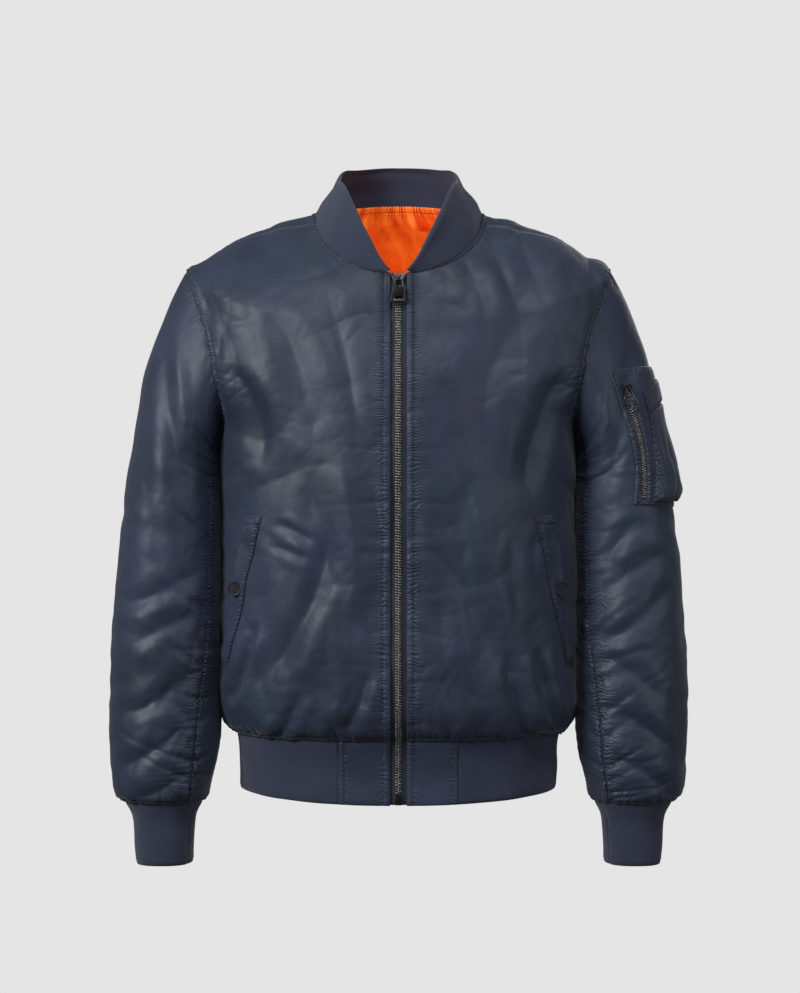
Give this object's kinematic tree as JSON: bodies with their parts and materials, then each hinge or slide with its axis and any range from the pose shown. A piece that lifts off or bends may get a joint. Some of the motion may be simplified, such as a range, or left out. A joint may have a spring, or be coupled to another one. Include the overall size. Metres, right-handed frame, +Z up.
{
  "type": "bomber jacket",
  "caption": "Zip-front bomber jacket with rib collar, cuffs and waistband, slanted welt pockets and a zipped sleeve pocket with pen holder.",
  "frame": {"origin": "middle of the neck base, level with the points where the shoulder seams meet the collar", "axes": "-Y out of the front, +X to the wearer's left, +Z up"},
  "size_m": [0.6509, 0.2797, 0.794],
  "materials": {
    "shell_nylon": "satin",
    "rib_knit": "matte",
    "orange_lining": "satin",
    "zip_tape": "matte",
    "dark_metal": "satin"
  },
  "bodies": {
    "jacket": {"back": "shell_nylon", "collar": "rib_knit", "cuff_left": "rib_knit", "cuff_right": "rib_knit", "front_left": "shell_nylon", "front_right": "shell_nylon", "hem_rib": "rib_knit", "hem_tab_left": "shell_nylon", "hem_tab_right": "shell_nylon", "lining_back": "orange_lining", "pen_band": "shell_nylon", "pen_pocket": "shell_nylon", "pocket_chain": "dark_metal", "pocket_patch": "shell_nylon", "pocket_slider": "dark_metal", "sleeve_left_top": "shell_nylon", "sleeve_left_under": "shell_nylon", "sleeve_right_top": "shell_nylon", "sleeve_right_under": "shell_nylon", "snap_left": "dark_metal", "snap_right": "dark_metal", "welt_left": "shell_nylon", "welt_right": "shell_nylon", "zip_box": "dark_metal", "zip_chain": "dark_metal", "zip_slider": "dark_metal", "zip_tape_left": "zip_tape", "zip_tape_right": "zip_tape"},
    "front_zip_pull": {"zip_pull": "dark_metal"},
    "sleeve_zip_pull": {"pocket_pull": "dark_metal"}
  },
  "joints": [
    {"name": "front_pull_swing", "type": "hinge", "parent": "jacket", "child": "front_zip_pull", "pos_m": [0, -0.10277, -0.08453], "axis": [-1, 0, 0], "range_deg": [0, 120]},
    {"name": "sleeve_pull_swing", "type": "hinge", "parent": "jacket", "child": "sleeve_zip_pull", "pos_m": [0.25516, -0.07446, -0.20385], "axis": [-0.8498, -0.471, -0.2365], "range_deg": [0, 120]}
  ]
}
